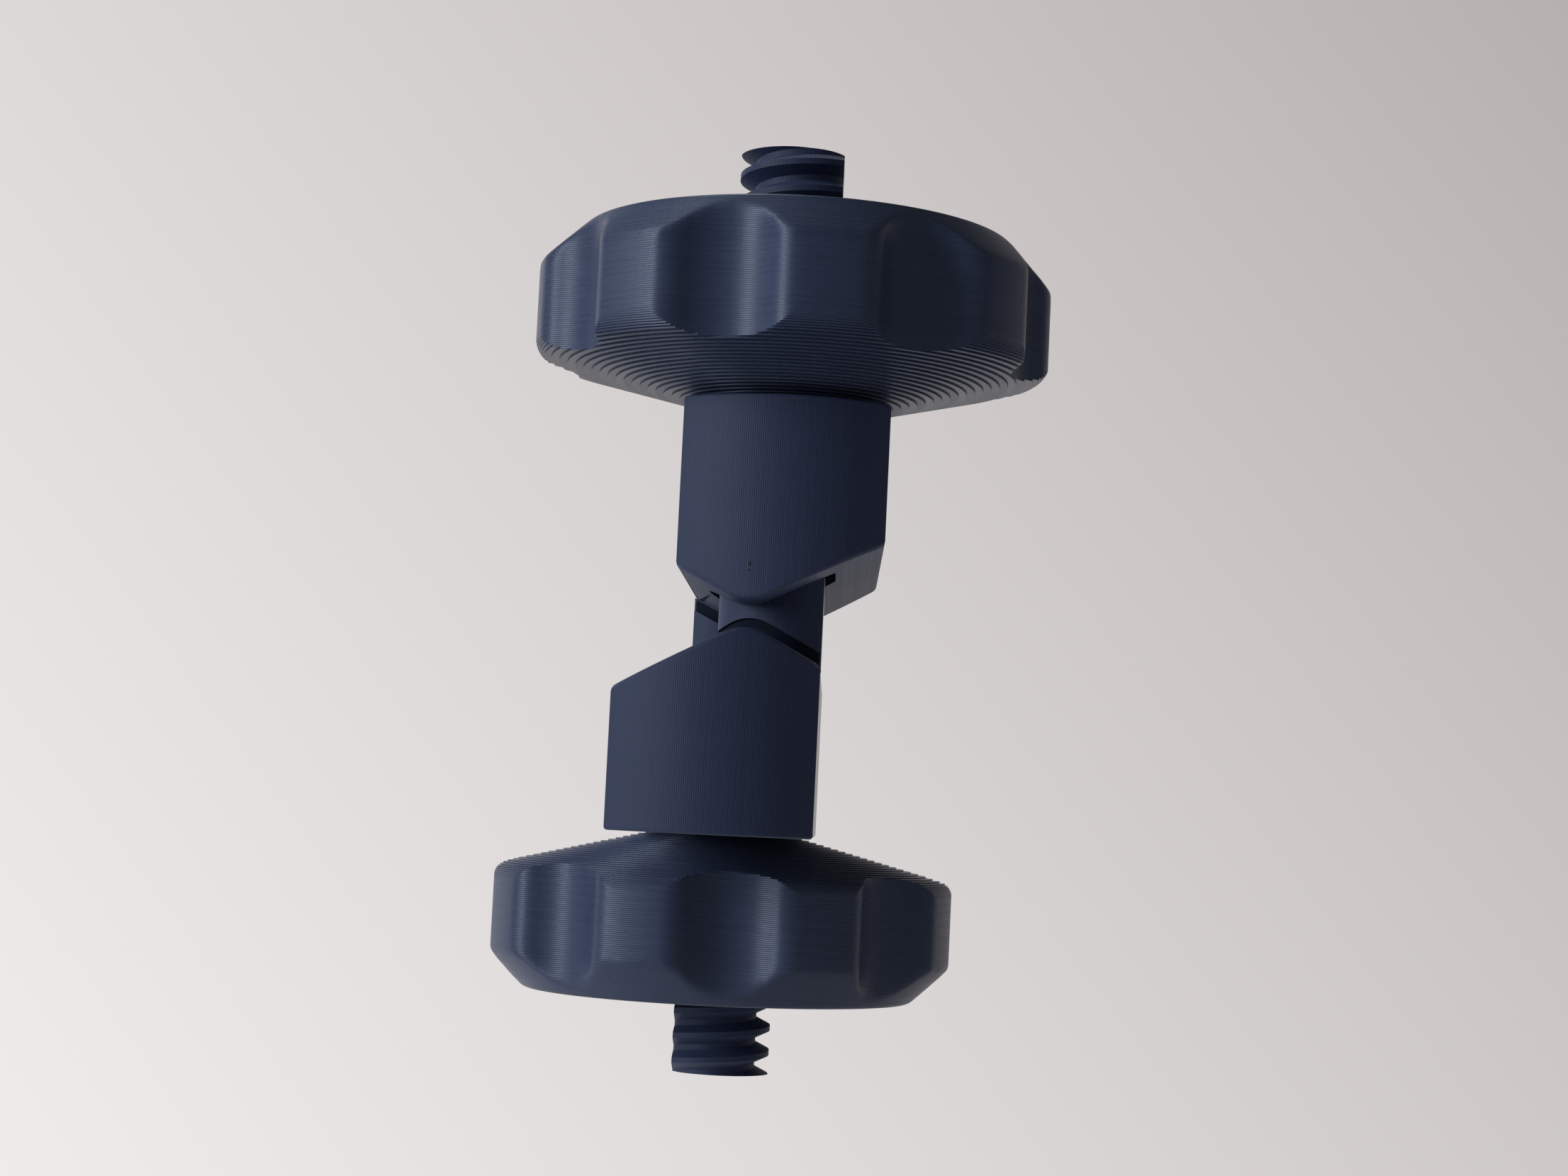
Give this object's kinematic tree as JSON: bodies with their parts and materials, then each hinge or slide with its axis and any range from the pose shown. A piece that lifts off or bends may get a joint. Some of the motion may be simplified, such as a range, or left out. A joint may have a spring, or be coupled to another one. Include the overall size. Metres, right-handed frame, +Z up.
{
  "type": "tubing pinch clamp",
  "caption": "Plastic tubing pinch clamp: two V-nosed jaws with integral flat-sided screws, drawn together over a tube by two lobed hand knobs.",
  "frame": {"origin": "on the pinch line midway between the two screws, which is the centre of the whole clamp", "axes": "+Z up along the screws, +X along the tube, +Y across the tube from the front screw to the back screw"},
  "size_m": [0.0553, 0.0815, 0.0918],
  "materials": {
    "jaw_plastic": "dark navy printed plastic, satin, with fine print layers",
    "knob_plastic": "dark navy printed plastic, satin, with fine print layers"
  },
  "bodies": {
    "lower_jaw": {"lower_jaw": "jaw_plastic"},
    "upper_jaw": {"upper_jaw": "jaw_plastic"},
    "upper_knob": {"upper_knob": "knob_plastic"},
    "lower_knob": {"lower_knob": "knob_plastic"}
  },
  "joints": [
    {"name": "upper_knob_turn", "type": "hinge", "parent": "upper_jaw", "child": "upper_knob", "pos_m": [0.0028, -0.0159, 0.03], "axis": [0, 0, 1], "range_deg": [-291, 996]},
    {"name": "jaw_slide", "type": "slide", "parent": "lower_jaw", "child": "upper_jaw", "axis": [0, 0, 1], "range_m": [-0.00211, 0.0072]},
    {"name": "lower_knob_turn", "type": "hinge", "parent": "lower_jaw", "child": "lower_knob", "pos_m": [-0.0028, 0.0159, -0.03], "axis": [0, 0, 1], "range_deg": [-997, 292]}
  ],
  "couplings": [
    {"joint": "jaw_slide", "follows": "upper_knob_turn", "m_per_rad": 0.0004138},
    {"joint": "lower_knob_turn", "follows": "upper_knob_turn", "ratio": -1}
  ]
}
